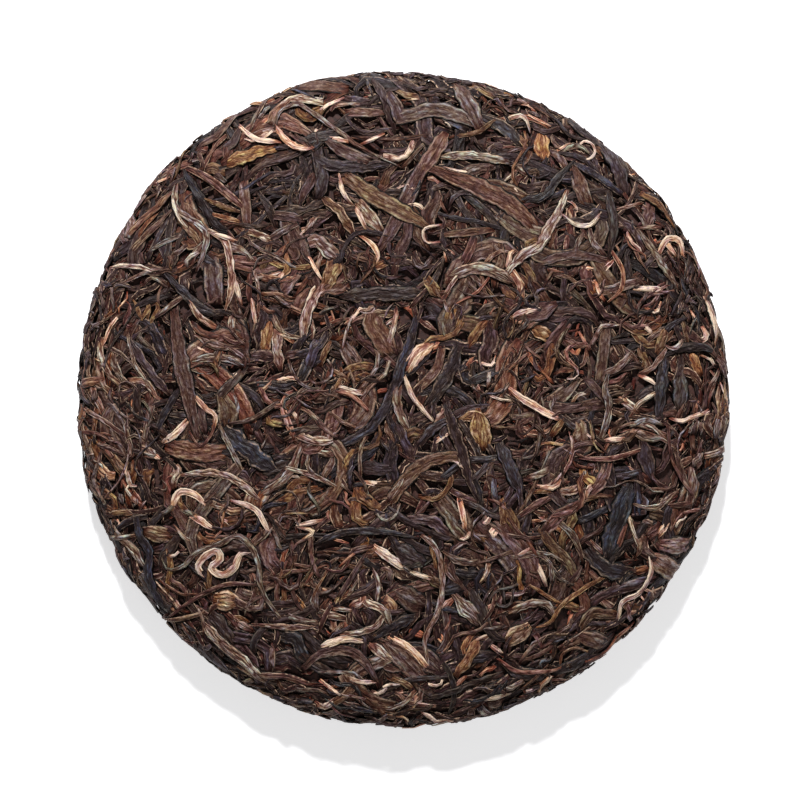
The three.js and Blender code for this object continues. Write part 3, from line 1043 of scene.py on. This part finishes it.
grey_kind = dict(
    rolled_leaf, tints=[(122, 105, 88), (108, 92, 79), (145, 125, 104)],
    length=(8, 24), width=(1.2, 3.4), shades=0.28, edge=0.8, hues=0.5,
)
grey_seen = [
    (4, (273, 97), (253, 131)),
    (5, (277, 129), (285, 113), (298, 108), (313, 115), (339, 132), (363, 148), (390, 162), (401, 167)),
    (7, (179, 187), (179, 211), (198, 224), (206, 232), (205, 249), (198, 267)),
    (8, (210, 232), (225, 241), (230, 263), (232, 284), (225, 310)),
    (5, (112, 268), (143, 268), (156, 273)),
    (6, (156, 317), (180, 298)),
    (7, (189, 301), (198, 315), (215, 327)),
    (12, (322, 283), (308, 310), (303, 339)),
    (14, (361, 205), (380, 229)),
    (11, (566, 194), (559, 211), (547, 232), (541, 244), (522, 256), (503, 277)),
    (7, (590, 229), (594, 244), (603, 253)),
    (8, (640, 232), (658, 258), (677, 286)),
    (8, (604, 373), (620, 366), (632, 351)),
    (5.5, (217, 421), (232, 451), (242, 471)),
    (9, (301, 444), (289, 473), (263, 494)),
    (8, (184, 475), (215, 473), (232, 478), (258, 499)),
    (5, (81, 406), (105, 421), (124, 435)),
    (6, (162, 559), (170, 570), (180, 568), (198, 551), (215, 546), (239, 537), (251, 547), (258, 563),
     (261, 587), (280, 618)),
    (12, (206, 625), (224, 644), (246, 661), (263, 677)),
    (6.5, (256, 625), (284, 627), (315, 627)),
    (6, (286, 615), (301, 620), (320, 623)),
    (8, (447, 554), (459, 561), (480, 563)),
    (4, (446, 556), (447, 573), (459, 584)),
    (6, (421, 535), (435, 547), (442, 573), (439, 608), (425, 642), (430, 668)),
    (17, (456, 597), (477, 620)),
    (10, (372, 646), (389, 658)),
    (4.5, (382, 706), (397, 704), (413, 692)),
    (5, (334, 608), (353, 611)),
    (8, (511, 613), (530, 604), (546, 604), (553, 613)),
    (6, (634, 504), (652, 508), (677, 492)),
    (7, (558, 522), (572, 534), (582, 559)),
    (5, (389, 499), (404, 477)),
    (8, (246, 231), (262, 236), (272, 242)),
    (8, (271, 238), (285, 230), (296, 224)),
    (5, (150, 253), (165, 243), (182, 236)),
    (3.5, (177, 190), (176, 205), (182, 222), (190, 230)),
    (9, (444, 157), (466, 155), (488, 158), (506, 161)),
    (15, (318, 240), (335, 256)),
    (13, (452, 276), (480, 268), (510, 280)),
    (6, (585, 231), (578, 243), (574, 256)),
    (4, (620, 209), (640, 203)),
    (5, (640, 228), (658, 227)),
    (4, (128, 336), (131, 350), (137, 367), (144, 377), (150, 389)),
    (4.5, (145, 330), (140, 337), (145, 343), (156, 351)),
    (11, (278, 334), (277, 350), (280, 366)),
    (3, (233, 394), (238, 406), (236, 416)),
    (10, (399, 388), (397, 404), (403, 420), (409, 430)),
    (5, (456, 278), (449, 288), (444, 296)),
    (3.5, (444, 298), (446, 306), (449, 317)),
    (7, (422, 321), (432, 328)),
    (4, (490, 368), (488, 386)),
    (4, (366, 438), (361, 448), (360, 462), (361, 478)),
    (6, (290, 469), (312, 475), (338, 488)),
    (7, (317, 452), (334, 455)),
    (4, (309, 453), (308, 467), (316, 476)),
    (10, (302, 436), (315, 441), (328, 440)),
    (8, (609, 373), (605, 388), (609, 405), (607, 420), (602, 436)),
    (5, (590, 347), (597, 335), (601, 327), (612, 325), (622, 325)),
    (6, (662, 331), (655, 335), (648, 341)),
    (5, (666, 345), (672, 349), (679, 345), (681, 337)),
    (6, (642, 373), (652, 368), (659, 360), (664, 352)),
    (5, (631, 416), (639, 404), (654, 394)),
    (9, (623, 400), (636, 411)),
    (7, (634, 432), (645, 438), (664, 437)),
    (6, (634, 425), (645, 420), (660, 424)),
    (4, (573, 402), (578, 395), (588, 394)),
    (4, (587, 356), (590, 368), (589, 378)),
    (7, (530, 477), (540, 474), (550, 468)),
    (8, (709, 455), (723, 445)),
    (5, (110, 536), (120, 537), (132, 536)),
    (5, (160, 514), (170, 509), (175, 500)),
    (5, (181, 510), (198, 516)),
    (4, (176, 528), (184, 537), (195, 543)),
    (4, (246, 612), (250, 602), (258, 598)),
    (6, (272, 648), (273, 666)),
    (3, (377, 510), (380, 518), (387, 520), (395, 516), (398, 508)),
    (5, (373, 570), (378, 582), (377, 598)),
    (9, (385, 612), (389, 622)),
    (7, (344, 634), (362, 632), (376, 626), (384, 614)),
    (8, (374, 694), (380, 700)),
    (5, (593, 543), (602, 552)),
    (4, (630, 520), (634, 534), (640, 549)),
    (9, (604, 602), (612, 608)),
    (5, (602, 625), (612, 622)),
    (8, (647, 523), (655, 525)),
]
grey = leaf_material("grey_leaf", (0.5, 2.6), contrast=0.4, gloss=0.4, down_and_highlight=0.35, relief=0.5)
grey_pile = {}
scatter(grey_pile, grey_kind, 200)
lay_seen(grey_pile, grey_kind, grey_seen)
grey_leaves = one_piece(grey_pile, "grey_leaves", grey)


# The russet stalks
# Stalks and midribs, round and tough, which dried a reddish brown. They bend less than leaves
# do, and are wedged between them.

russet_kind = dict(
    rolled_leaf, tints=[(91, 59, 46), (78, 51, 41), (107, 69, 47)],
    length=(8, 24), width=(0.9, 2.2), flatness=0.7, ends=(0.3, 0.8), ragged=0.06, shades=0.25,
    fold_depth=(0.05, 0.2), give=0.06, bundled=0.05,
)
russet_seen = [
    (5, (613, 253), (623, 275), (621, 289), (611, 299)),
    (4, (668, 425), (671, 456), (694, 499)),
    (3, (191, 434), (201, 446), (211, 435), (215, 421)),
    (5, (232, 423), (249, 420), (275, 404)),
    (10, (84, 384), (100, 380)),
    (5, (170, 616), (203, 594), (224, 585), (256, 585)),
    (5, (170, 618), (191, 616), (201, 613)),
    (6, (363, 559), (339, 597)),
    (4, (480, 563), (494, 558), (513, 551)),
    (5, (501, 661), (518, 671), (539, 670), (559, 668)),
    (6, (671, 506), (690, 503)),
    (6, (625, 528), (618, 547)),
    (8, (522, 515), (539, 503), (553, 497)),
    (6, (554, 516), (573, 511)),
    (9, (192, 172), (214, 183), (232, 198), (243, 207)),
    (10, (474, 238), (470, 250), (464, 262)),
    (6, (584, 458), (608, 459), (640, 450)),
    (7, (262, 673), (285, 676), (310, 684)),
    (7, (128, 240), (150, 218), (172, 198)),
    (6, (133, 252), (150, 235), (170, 215)),
    (5, (337, 392), (352, 396), (367, 410)),
    (4, (331, 413), (343, 422), (356, 428)),
    (3, (162, 582), (172, 588), (182, 594), (193, 594)),
    (6, (329, 609), (324, 618), (320, 630)),
    (8, (354, 551), (369, 547)),
    (7, (570, 582), (575, 577), (579, 570)),
    (7, (591, 573), (597, 579)),
    (7, (194, 325), (203, 333), (217, 336)),
    (6, (413, 305), (424, 292)),
    (4, (588, 658), (605, 648), (620, 632), (630, 624)),
]
russet = leaf_material("russet_stalk", (0.45, 3.0), contrast=0.42, gloss=0.5, down_and_highlight=0.2, relief=0.3)
russet_pile = {}
scatter(russet_pile, russet_kind, 150)
lay_seen(russet_pile, russet_kind, russet_seen)
russet_stalks = one_piece(russet_pile, "russet_stalks", russet)


# The thin strips
# Narrow leaves that were rolled tight before they dried, so that they are little thicker than
# twine. They go on last of the dark leaves, across the others.

thin_kind = dict(
    rolled_leaf,
    tints=[
        (45, 38, 39), (65, 49, 44), (89, 71, 60), (116, 95, 82), (85, 62, 39), (54, 41, 39), (76, 47, 37),
    ],
    length=(7, 26), width=(0.8, 2.0), flatness=0.5, sway=0.7, curl=0.08, ragged=0.15, ridges=4, loose=0.0,
    bundled=0.08, ends=(0.3, 0.9),
)
thin = leaf_material("thin_strip", (0.45, 2.6), contrast=0.45, gloss=0.5, down_and_highlight=0.3, relief=0.55)
thin_pile = {}
scatter(thin_pile, thin_kind, 380, steps=8)
thin_strips = one_piece(thin_pile, "thin_strips", thin)


# The pale buds
# Unopened leaf buds, covered with silver down. They dried to cream and tan, taper to a fine tip
# and lie on top.

cream = [(198, 175, 150), (189, 165, 138), (204, 185, 160), (193, 170, 147)]
tan = [(202, 166, 131), (192, 154, 119), (206, 175, 143)]
bud_kind = dict(
    rolled_leaf, tints=cream + tan,
    length=(3, 11), width=(0.8, 1.9), flatness=0.5, ends=(0.3, 0.8), tapers=(0.15, 0.5), curl=0.07,
    bundled=0.0, fold_count=(2, 5), fold_depth=(0.15, 0.5), shades=0.13, edge=0.0, ragged=0.15, hues=0.25,
)
cream_seen = [
    (5, (241, 129), (256, 141), (280, 143)),
    (5, (331, 139), (347, 141)),
    (5, (251, 296), (256, 327)),
    (6, (234, 279), (241, 304)),
    (3, (444, 224), (423, 232), (425, 241), (442, 241)),
    (5, (339, 174), (344, 194), (353, 205)),
    (5, (356, 208), (366, 229)),
    (5, (506, 120), (522, 117), (530, 131)),
    (5, (563, 215), (577, 225), (590, 225), (601, 213)),
    (6, (635, 289), (661, 289)),
    (5, (599, 275), (613, 261)),
    (7, (704, 298), (711, 318), (716, 346)),
    (5, (604, 440), (627, 439)),
    (5, (671, 418), (682, 421), (694, 416), (708, 411)),
    (5.5, (404, 375), (413, 397), (432, 420)),
    (6.5, (335, 387), (347, 390), (366, 394)),
    (5, (377, 392), (385, 390)),
    (5, (363, 482), (384, 485)),
    (4, (456, 537), (465, 539), (471, 530)),
    (6, (435, 442), (447, 434)),
    (4, (477, 361), (492, 365), (497, 353)),
    (8, (163, 442), (174, 435), (187, 421)),
    (6, (232, 501), (255, 509), (270, 535)),
    (5, (298, 525), (310, 523), (322, 520)),
    (8, (206, 577), (198, 566), (206, 556), (218, 551), (220, 559), (211, 568), (222, 575), (234, 568),
     (241, 554), (251, 553)),
    (10, (373, 546), (390, 558), (404, 568)),
    (5, (406, 570), (434, 580)),
    (8, (322, 647), (339, 640), (365, 642)),
    (5, (344, 675), (359, 680), (375, 682)),
    (5, (485, 696), (509, 692)),
    (5, (456, 685), (465, 677)),
    (5.5, (649, 553), (651, 573), (639, 592), (621, 603), (618, 616), (615, 623)),
    (5, (566, 647), (575, 639)),
    (6, (539, 515), (549, 522)),
    (5, (537, 563), (546, 585)),
    (5, (212, 233), (225, 237), (237, 241)),
    (5, (317, 132), (324, 136)),
    (4, (445, 247), (446, 260)),
    (4, (362, 143), (375, 138), (383, 134)),
    (3, (556, 151), (569, 144)),
    (3, (513, 186), (517, 193), (521, 199)),
    (3, (578, 148), (584, 142), (592, 146), (594, 154), (588, 160), (580, 158)),
    (3, (566, 200), (573, 203), (577, 211), (572, 213)),
    (4, (407, 205), (418, 205), (426, 212)),
    (3, (443, 167), (458, 171), (474, 173)),
    (5, (103, 397), (111, 407)),
    (3, (161, 366), (166, 377)),
    (4, (197, 347), (208, 352)),
    (4, (227, 381), (235, 374)),
    (6, (322, 323), (331, 318)),
    (3.5, (376, 340), (382, 344)),
    (4, (446, 388), (448, 396)),
    (6, (366, 450), (373, 450)),
    (4, (416, 451), (419, 447)),
    (3, (451, 459), (459, 464), (464, 472)),
    (5, (512, 318), (520, 312), (529, 310)),
    (4, (580, 333), (588, 347)),
    (5, (640, 326), (647, 328), (651, 333)),
    (5, (647, 308), (656, 312), (661, 303)),
    (6, (703, 328), (706, 336), (699, 342)),
    (5, (641, 376), (650, 380), (656, 385)),
    (6, (595, 484), (588, 490), (586, 498)),
    (4, (153, 526), (160, 528)),
    (5, (167, 602), (173, 609)),
    (3.5, (335, 540), (347, 543)),
    (3, (328, 568), (334, 573)),
    (3, (321, 588), (327, 591)),
    (5, (434, 652), (438, 658)),
    (4, (476, 641), (484, 637), (492, 634)),
    (5, (484, 610), (493, 605)),
    (8, (444, 608), (452, 600)),
    (4, (372, 693), (382, 691), (388, 685)),
    (5, (486, 511), (488, 524)),
    (4, (516, 557), (524, 552), (530, 548)),
    (4, (554, 584), (560, 588)),
    (4, (419, 378), (420, 381)),
]
tan_seen = [
    (7, (313, 147), (303, 149), (280, 134), (277, 129)),
    (6, (361, 236), (373, 246), (378, 255), (376, 263)),
    (7, (659, 253), (668, 239), (678, 242), (683, 256)),
    (8, (510, 389), (520, 397), (535, 406), (546, 413), (558, 418)),
    (14, (408, 370), (418, 354), (437, 342)),
    (6.5, (459, 496), (466, 530)),
    (6, (194, 394), (205, 408), (215, 416), (213, 428)),
    (5, (149, 452), (158, 458)),
    (8, (172, 509), (180, 492), (194, 494), (206, 506)),
    (5, (299, 527), (313, 532), (303, 539)),
    (8, (390, 637), (408, 647), (428, 668)),
    (8, (411, 632), (421, 635)),
    (5, (416, 702), (434, 704)),
    (8, (670, 520), (656, 539)),
    (5, (568, 628), (572, 616)),
    (4, (308, 256), (316, 270), (323, 282)),
    (4, (348, 331), (354, 325)),
    (6, (405, 306), (410, 309), (414, 316)),
    (4, (303, 453), (310, 454)),
    (5, (572, 350), (576, 354), (580, 346)),
    (8, (192, 516), (203, 522), (213, 529)),
    (8, (436, 633), (443, 641)),
    (7, (416, 695), (411, 706)),
    (6, (500, 532), (507, 535)),
    (5, (549, 646), (554, 655)),
]
bud = leaf_material("pale_bud", (0.4, 3.0), contrast=0.25, gloss=0.45, down_and_highlight=0.2, relief=0.32)
bud_pile = {}
scatter(bud_pile, bud_kind, 150, steps=4)
lay_seen(bud_pile, dict(bud_kind, tints=cream), cream_seen, longer=0.6)
lay_seen(bud_pile, dict(bud_kind, tints=tan), tan_seen, longer=0.6)
pale_buds = one_piece(bud_pile, "pale_buds", bud)


# The crumbs
# Chips and slivers that broke off leaves and stalks, and stuck where they fell. The scraps round
# the rim are larger, and their ends stand out a little.

crumb_kind = dict(
    rolled_leaf, tints=[(138, 113, 98), (94, 73, 60), (65, 52, 48), (142, 112, 88), (52, 42, 41)],
    length=(2, 6), width=(0.6, 1.6), flatness=0.5, bundled=0.1, shades=0.35, hues=0.6,
)
scrap_kind = dict(
    crumb_kind, tints=[(58, 46, 46), (80, 58, 50), (110, 88, 76), (48, 40, 42)],
    length=(3, 8), width=(1.0, 2.2), reach=(91, leaf_reach), loose=1.0,
)
crumb = leaf_material("leaf_crumb", (0.3, 2.0), contrast=0.4, gloss=0.4, down_and_highlight=0.3, relief=0.25)
crumb_pile = {}
scatter(crumb_pile, crumb_kind, 1000, steps=2)
scatter(crumb_pile, scrap_kind, 200, steps=3)
leaf_crumbs = one_piece(crumb_pile, "leaf_crumbs", crumb)


# Pressing
# The bag is pressed under a stone: the leaves bend round the mass and sink into each other,
# and nothing is left standing proud. The back is pressed flat on a board.

# How high the leaves lie over the mass, how far one may stand above or below the others near it,
# and where the rim starts, on which they stand out further.
smooth_reach = 5
top_height = 0.75
most_sunk = 1.2
most_proud = 0.5
most_proud_on_rim = 1.2
rim_lift = 0.4
rim_from = 86
rim_breadth = 8
board_give = 0.12
lowest = 0.02

# Painted shade and light: the tints of leaves in the gaps between others, and of those sunk under them, are
# painted darker and redder, as little light gets there; where a leaf stands above those near it, its tint
# is painted lighter.
cavity_reach = 1.0
lowest_in_cavity, highest_above = -1.5, 0.4
painted_cavity_shade_and_light = np.array([1.25, 2.2, 2.6])
painted_gap_shade = np.array([0.06, 0.43, 0.54])


def smoothed(field, reach):
    """The field without what is narrower than the reach, in millimetres."""
    cells = int(round(reach / cell))
    weights = np.exp(-0.5 * (np.arange(-3 * cells, 3 * cells + 1) / cells) ** 2)
    weights /= weights.sum()
    for axis in (0, 1):
        field = np.apply_along_axis(lambda line: np.convolve(line, weights, mode="same"), axis, field)
    return field


levels = {bed: smoothed(field, smooth_reach) for bed, field in beds.items()}
near_levels = {bed: smoothed(field, cavity_reach) for bed, field in beds.items()}
leaf_pieces = [
    deep_brown_leaves, warm_brown_leaves, black_leaves, broad_leaves, olive_leaves, grey_leaves,
    russet_stalks, mixed_brown_leaves, thin_strips, pale_buds, leaf_crumbs,
]
for piece in leaf_pieces:
    places = np.empty(len(piece.data.vertices) * 3)
    piece.data.vertices.foreach_get("co", places)
    places = places.reshape(-1, 3)
    on_back = places[:, 0] > back_bed_x / 2
    x = places[:, 0] - back_bed_x * on_back
    y = places[:, 1]
    columns = np.clip(((x + bed_reach) / cell).astype(int), 0, bed_cells - 1)
    rows = np.clip(((y + bed_reach) / cell).astype(int), 0, bed_cells - 1)
    level, near = (
        np.where(on_back, fields["back"][rows, columns], fields["face"][rows, columns])
        for fields in (levels, near_levels)
    )
    proud = places[:, 2] - level
    sunk = most_sunk * (np.exp(np.minimum(proud, 0) / most_sunk) - 1)
    on_rim = ease((np.hypot(x, y) - rim_from) / rim_breadth)
    highest = most_proud + (most_proud_on_rim - most_proud) * on_rim
    raised = highest * (1 - np.exp(-np.maximum(proud, 0) / highest)) + (highest - most_proud) * rim_lift
    cavity = np.clip(places[:, 2] - near, lowest_in_cavity, highest_above)
    tints = np.empty(len(x) * 4)
    tint_data = piece.data.attributes["leaf_tint"].data
    tint_data.foreach_get("color", tints)
    tints = tints.reshape(-1, 4)
    # Painted shade darkens and reddens the tints in the gaps and under other leaves; painted light
    # brightens them where a leaf stands proud.
    tints[:, :3] *= np.exp(sunk[:, None] * painted_gap_shade + cavity[:, None] * painted_cavity_shade_and_light)
    tint_data.foreach_set("color", tints.ravel())
    pressed = wrap(x, y, top_height + sunk + raised, on_back)
    pressed[:, 2] = lowest + board_give * np.logaddexp(0, (pressed[:, 2] - lowest) / board_give)
    piece.data.vertices.foreach_set("co", (pressed * mm).ravel())
    piece.data.update()


# The floor and the light
# A plain white floor, a soft light beyond the top of the view that brings out the relief, and a
# large weak one on the other side.

floor_reach = 2.5
floor_mesh = bpy.data.meshes.new("floor")
floor_shape = bmesh.new()
bmesh.ops.create_grid(floor_shape, x_segments=1, y_segments=1, size=floor_reach)
floor_shape.to_mesh(floor_mesh)
floor_shape.free()
floor = add_object("floor", floor_mesh)
white, tree, shader = new_material("white_paper")
shader.inputs["Base Color"].default_value = (0.8, 0.8, 0.82, 1)
shader.inputs["Roughness"].default_value = 0.9
shader.inputs["Emission Color"].default_value = (1, 1, 1, 1)
shader.inputs["Emission Strength"].default_value = 0.56
floor.data.materials.append(white)


def soft_light(name, place, size, watts):
    """A square light that faces the cake."""
    light = add_object(name, bpy.data.lights.new(name, "AREA"))
    light.data.shape = "SQUARE"
    light.data.size = size
    light.data.energy = watts
    light.location = place
    light.rotation_euler = (-Vector(place)).to_track_quat("-Z", "Y").to_euler()


soft_light("key_light", (-0.1, 0.99, 0.85), 0.12, 28.1)
soft_light("fill_light", (0.4, -0.8, 1.1), 1.0, 3.4)
world = bpy.data.worlds.new("studio")
world.use_nodes = True
room = world.node_tree.nodes["Background"]
room.inputs["Color"].default_value = (1, 1, 1, 1)
room.inputs["Strength"].default_value = 0.16
bpy.context.scene.world = world
